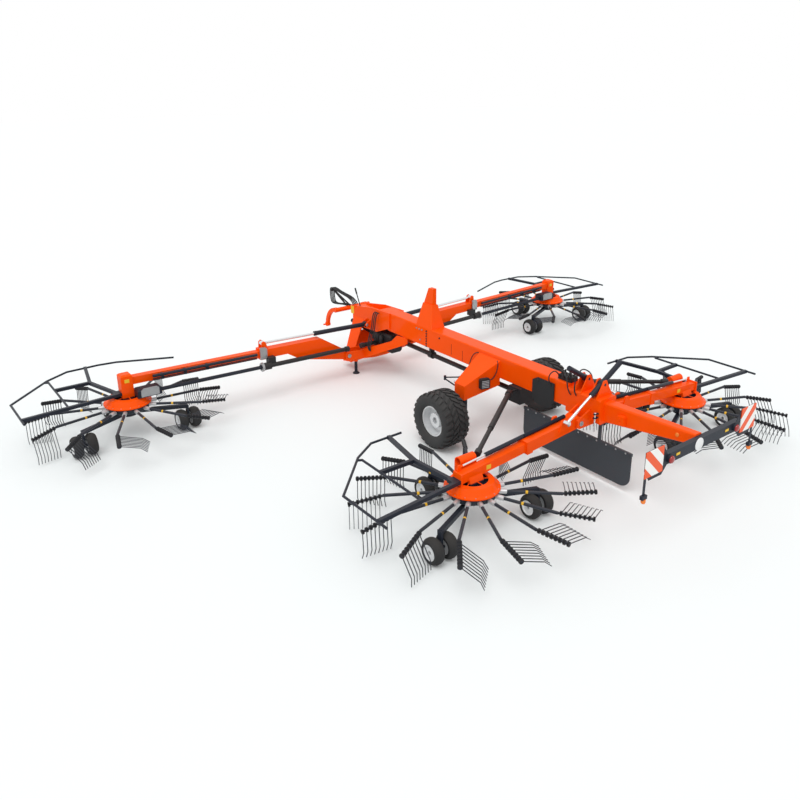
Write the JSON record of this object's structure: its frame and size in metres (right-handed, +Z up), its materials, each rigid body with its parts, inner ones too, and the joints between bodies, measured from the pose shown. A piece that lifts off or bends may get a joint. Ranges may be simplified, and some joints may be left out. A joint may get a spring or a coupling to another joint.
{
  "type": "four-rotor rotary rake",
  "caption": "Towed rotary hay rake in working position: a steered main beam on two wheels carries folding, telescoping arms with tined rotors on their own running wheels.",
  "frame": {"origin": "on the ground under the middle of the machine's outline", "axes": "+X forward along the main beam, towards the headstock; +Y to the machine's left; +Z up"},
  "size_m": [10.346, 15.1802, 2.37],
  "materials": {
    "orange_paint": "gloss",
    "dark_paint": "satin",
    "black_plastic": "matte",
    "board": "gloss",
    "curtain": "matte",
    "zinc": "satin",
    "chrome": "polished",
    "rim": "satin",
    "tyre": "matte"
  },
  "bodies": {
    "chassis": {"main_beam": "orange_paint", "head_frame": "orange_paint", "tail_frame": "orange_paint", "axle_legs": "orange_paint", "drive_line": "black_plastic", "light_bar": "dark_paint", "warning_boards": "board", "swath_curtain": "curtain"},
    "hitch": {"headstock": "orange_paint"},
    "jack": {"jack_leg": "zinc"},
    "knuckle_left": {"knuckle_left": "dark_paint"},
    "main_wheel_left": {"main_tyre_left": "tyre", "main_rim_left": "rim"},
    "front_arm_left": {"front_outer_left": "orange_paint", "front_shaft_left": "black_plastic"},
    "front_unit_left": {"front_inner_left": "orange_paint", "front_frame_left": "dark_paint"},
    "rear_arm_left": {"rear_base_left": "orange_paint"},
    "rear_unit_left": {"rear_slide_left": "orange_paint", "rear_frame_left": "dark_paint"},
    "front_barrel_left": {"front_barrel_left": "dark_paint"},
    "front_rod_left": {"front_rod_left": "chrome"},
    "rear_barrel_left": {"rear_barrel_left": "dark_paint"},
    "rear_rod_left": {"rear_rod_left": "chrome"},
    "rear_sleeve_left": {"rear_sleeve_left": "black_plastic"},
    "rear_core_left": {"rear_core_left": "black_plastic"},
    "front_reel_left": {"front_rotor_left": "dark_paint"},
    "front_wheels_outer_left": {"front_wheels_outer_left": "tyre"},
    "front_wheels_inner_left": {"front_wheels_inner_left": "tyre"},
    "front_wheels_lead_left": {"front_wheels_lead_left": "tyre"},
    "rear_reel_left": {"rear_rotor_left": "dark_paint"},
    "rear_wheels_outer_left": {"rear_wheels_outer_left": "tyre"},
    "rear_wheels_inner_left": {"rear_wheels_inner_left": "tyre"},
    "rear_wheels_lead_left": {"rear_wheels_lead_left": "tyre"},
    "knuckle_right": {"knuckle_right": "dark_paint"},
    "main_wheel_right": {"main_tyre_right": "tyre", "main_rim_right": "rim"},
    "front_arm_right": {"front_outer_right": "orange_paint", "front_shaft_right": "black_plastic"},
    "front_unit_right": {"front_inner_right": "orange_paint", "front_frame_right": "dark_paint"},
    "rear_arm_right": {"rear_base_right": "orange_paint"},
    "rear_unit_right": {"rear_slide_right": "orange_paint", "rear_frame_right": "dark_paint"},
    "front_barrel_right": {"front_barrel_right": "dark_paint"},
    "front_rod_right": {"front_rod_right": "chrome"},
    "rear_barrel_right": {"rear_barrel_right": "dark_paint"},
    "rear_rod_right": {"rear_rod_right": "chrome"},
    "rear_sleeve_right": {"rear_sleeve_right": "black_plastic"},
    "rear_core_right": {"rear_core_right": "black_plastic"},
    "front_reel_right": {"front_rotor_right": "dark_paint"},
    "front_wheels_outer_right": {"front_wheels_outer_right": "tyre"},
    "front_wheels_inner_right": {"front_wheels_inner_right": "tyre"},
    "front_wheels_lead_right": {"front_wheels_lead_right": "tyre"},
    "rear_reel_right": {"rear_rotor_right": "dark_paint"},
    "rear_wheels_outer_right": {"rear_wheels_outer_right": "tyre"},
    "rear_wheels_inner_right": {"rear_wheels_inner_right": "tyre"},
    "rear_wheels_lead_right": {"rear_wheels_lead_right": "tyre"}
  },
  "joints": [
    {"name": "hitch_swivel", "type": "hinge", "parent": "chassis", "child": "hitch", "pos_m": [4.188, 0, 1.29], "axis": [0, 0, 1], "range_deg": [-50, 50]},
    {"name": "jack_lift", "type": "slide", "parent": "chassis", "child": "jack", "axis": [0, 0, 1], "range_m": [0, 0.25]},
    {"name": "steer_left", "type": "hinge", "parent": "chassis", "child": "knuckle_left", "pos_m": [-0.682, 0.8, 0.535], "axis": [0, 0, 1], "range_deg": [-15, 15]},
    {"name": "wheel_spin_left", "type": "hinge", "parent": "knuckle_left", "child": "main_wheel_left", "pos_m": [-0.682, 1.34, 0.535], "axis": [0, 1, 0], "continuous": true},
    {"name": "front_fold_left", "type": "hinge", "parent": "chassis", "child": "front_arm_left", "pos_m": [3.353, 0.84, 0.52], "axis": [1, 0, 0], "range_deg": [-3, 84]},
    {"name": "front_retract_left", "type": "slide", "parent": "front_arm_left", "child": "front_unit_left", "axis": [0, -0.9997, -0.0262], "range_m": [0, 1.05]},
    {"name": "front_barrel_turn_left", "type": "hinge", "parent": "chassis", "child": "front_barrel_left", "pos_m": [3.353, 0.3, 1.13], "axis": [1, 0, 0], "range_deg": [-4.84, 87.59]},
    {"name": "front_rod_slide_left", "type": "slide", "parent": "front_barrel_left", "child": "front_rod_left", "axis": [0, 0.9994, 0.0349], "range_m": [-1.11103, 0.06142]},
    {"name": "rear_fold_left", "type": "hinge", "parent": "chassis", "child": "rear_arm_left", "pos_m": [-3.042, 0.42, 1.09], "axis": [1, 0, 0], "range_deg": [-3, 90]},
    {"name": "rear_retract_left", "type": "slide", "parent": "rear_arm_left", "child": "rear_unit_left", "axis": [0, -0.9964, 0.0845], "range_m": [0, 0.35]},
    {"name": "rear_barrel_turn_left", "type": "hinge", "parent": "chassis", "child": "rear_barrel_left", "pos_m": [-3.21, 0, 1.7], "axis": [1, 0, 0], "range_deg": [-6.11, 0.32]},
    {"name": "rear_rod_slide_left", "type": "slide", "parent": "rear_barrel_left", "child": "rear_rod_left", "axis": [0, 0.8528, -0.5223], "range_m": [-0.57169, 0.03025]},
    {"name": "rear_shaft_swing_left", "type": "hinge", "parent": "rear_arm_left", "child": "rear_sleeve_left", "pos_m": [-1.502, 0.42, 1.09], "axis": [0, 0, 1], "range_deg": [-0.11, 5.39]},
    {"name": "rear_shaft_slide_left", "type": "slide", "parent": "rear_sleeve_left", "child": "rear_core_left", "axis": [-0.5612, 0.8272, -0.0291], "range_m": [-0.2858, 0.0056]},
    {"name": "front_rotor_turn_left", "type": "hinge", "parent": "front_unit_left", "child": "front_reel_left", "pos_m": [3.353, 5.71, 0.59], "axis": [0, 0, -1], "continuous": true},
    {"name": "front_outer_spin_left", "type": "hinge", "parent": "front_unit_left", "child": "front_wheels_outer_left", "pos_m": [2.923, 6.675, 0.2], "axis": [0, 1, 0], "continuous": true},
    {"name": "front_inner_spin_left", "type": "hinge", "parent": "front_unit_left", "child": "front_wheels_inner_left", "pos_m": [2.923, 4.745, 0.2], "axis": [0, 1, 0], "continuous": true},
    {"name": "front_lead_spin_left", "type": "hinge", "parent": "front_unit_left", "child": "front_wheels_lead_left", "pos_m": [4.353, 5.71, 0.2], "axis": [0, 1, 0], "continuous": true},
    {"name": "rear_rotor_turn_left", "type": "hinge", "parent": "rear_unit_left", "child": "rear_reel_left", "pos_m": [-3.042, 2.66, 0.59], "axis": [0, 0, -1], "continuous": true},
    {"name": "rear_outer_spin_left", "type": "hinge", "parent": "rear_unit_left", "child": "rear_wheels_outer_left", "pos_m": [-3.472, 3.625, 0.2], "axis": [0, 1, 0], "continuous": true},
    {"name": "rear_inner_spin_left", "type": "hinge", "parent": "rear_unit_left", "child": "rear_wheels_inner_left", "pos_m": [-3.472, 1.695, 0.2], "axis": [0, 1, 0], "continuous": true},
    {"name": "rear_lead_spin_left", "type": "hinge", "parent": "rear_unit_left", "child": "rear_wheels_lead_left", "pos_m": [-2.042, 2.66, 0.2], "axis": [0, 1, 0], "continuous": true},
    {"name": "steer_right", "type": "hinge", "parent": "chassis", "child": "knuckle_right", "pos_m": [-0.682, -0.8, 0.535], "axis": [0, 0, 1], "range_deg": [-15, 15]},
    {"name": "wheel_spin_right", "type": "hinge", "parent": "knuckle_right", "child": "main_wheel_right", "pos_m": [-0.682, -1.34, 0.535], "axis": [0, 1, 0], "continuous": true},
    {"name": "front_fold_right", "type": "hinge", "parent": "chassis", "child": "front_arm_right", "pos_m": [3.353, -0.84, 0.52], "axis": [-1, 0, 0], "range_deg": [-3, 84]},
    {"name": "front_retract_right", "type": "slide", "parent": "front_arm_right", "child": "front_unit_right", "axis": [0, 0.9997, -0.0262], "range_m": [0, 1.05]},
    {"name": "front_barrel_turn_right", "type": "hinge", "parent": "chassis", "child": "front_barrel_right", "pos_m": [3.353, -0.3, 1.13], "axis": [-1, 0, 0], "range_deg": [-4.84, 87.59]},
    {"name": "front_rod_slide_right", "type": "slide", "parent": "front_barrel_right", "child": "front_rod_right", "axis": [0, -0.9994, 0.0349], "range_m": [-1.11103, 0.06142]},
    {"name": "rear_fold_right", "type": "hinge", "parent": "chassis", "child": "rear_arm_right", "pos_m": [-3.042, -0.42, 1.09], "axis": [-1, 0, 0], "range_deg": [-3, 90]},
    {"name": "rear_retract_right", "type": "slide", "parent": "rear_arm_right", "child": "rear_unit_right", "axis": [0, 0.9964, 0.0845], "range_m": [0, 0.35]},
    {"name": "rear_barrel_turn_right", "type": "hinge", "parent": "chassis", "child": "rear_barrel_right", "pos_m": [-2.874, 0, 1.7], "axis": [-1, 0, 0], "range_deg": [-6.11, 0.32]},
    {"name": "rear_rod_slide_right", "type": "slide", "parent": "rear_barrel_right", "child": "rear_rod_right", "axis": [0, -0.8528, -0.5223], "range_m": [-0.57169, 0.03025]},
    {"name": "rear_shaft_swing_right", "type": "hinge", "parent": "rear_arm_right", "child": "rear_sleeve_right", "pos_m": [-1.502, -0.42, 1.09], "axis": [0, 0, -1], "range_deg": [-0.11, 5.39]},
    {"name": "rear_shaft_slide_right", "type": "slide", "parent": "rear_sleeve_right", "child": "rear_core_right", "axis": [-0.5612, -0.8272, -0.0291], "range_m": [-0.2858, 0.0056]},
    {"name": "front_rotor_turn_right", "type": "hinge", "parent": "front_unit_right", "child": "front_reel_right", "pos_m": [3.353, -5.71, 0.59], "axis": [0, 0, 1], "continuous": true},
    {"name": "front_outer_spin_right", "type": "hinge", "parent": "front_unit_right", "child": "front_wheels_outer_right", "pos_m": [2.923, -6.675, 0.2], "axis": [0, 1, 0], "continuous": true},
    {"name": "front_inner_spin_right", "type": "hinge", "parent": "front_unit_right", "child": "front_wheels_inner_right", "pos_m": [2.923, -4.745, 0.2], "axis": [0, 1, 0], "continuous": true},
    {"name": "front_lead_spin_right", "type": "hinge", "parent": "front_unit_right", "child": "front_wheels_lead_right", "pos_m": [4.353, -5.71, 0.2], "axis": [0, 1, 0], "continuous": true},
    {"name": "rear_rotor_turn_right", "type": "hinge", "parent": "rear_unit_right", "child": "rear_reel_right", "pos_m": [-3.042, -2.66, 0.59], "axis": [0, 0, 1], "continuous": true},
    {"name": "rear_outer_spin_right", "type": "hinge", "parent": "rear_unit_right", "child": "rear_wheels_outer_right", "pos_m": [-3.472, -3.625, 0.2], "axis": [0, 1, 0], "continuous": true},
    {"name": "rear_inner_spin_right", "type": "hinge", "parent": "rear_unit_right", "child": "rear_wheels_inner_right", "pos_m": [-3.472, -1.695, 0.2], "axis": [0, 1, 0], "continuous": true},
    {"name": "rear_lead_spin_right", "type": "hinge", "parent": "rear_unit_right", "child": "rear_wheels_lead_right", "pos_m": [-2.042, -2.66, 0.2], "axis": [0, 1, 0], "continuous": true}
  ],
  "couplings": [
    {"joint": "front_barrel_turn_left", "follows": "front_fold_left", "ratio": 1.0216},
    {"joint": "front_rod_slide_left", "follows": "front_fold_left", "m_per_rad": -0.74245},
    {"joint": "rear_barrel_turn_left", "follows": "rear_fold_left", "ratio": -0.066541},
    {"joint": "rear_rod_slide_left", "follows": "rear_fold_left", "m_per_rad": -0.35658},
    {"joint": "rear_shaft_swing_left", "follows": "rear_retract_left", "rad_per_m": 0.2636},
    {"joint": "rear_shaft_slide_left", "follows": "rear_retract_left", "ratio": -0.80057},
    {"joint": "front_barrel_turn_right", "follows": "front_fold_right", "ratio": 1.0216},
    {"joint": "front_rod_slide_right", "follows": "front_fold_right", "m_per_rad": -0.74245},
    {"joint": "rear_barrel_turn_right", "follows": "rear_fold_right", "ratio": -0.066541},
    {"joint": "rear_rod_slide_right", "follows": "rear_fold_right", "m_per_rad": -0.35658},
    {"joint": "rear_shaft_swing_right", "follows": "rear_retract_right", "rad_per_m": 0.2636},
    {"joint": "rear_shaft_slide_right", "follows": "rear_retract_right", "ratio": -0.80057}
  ]
}
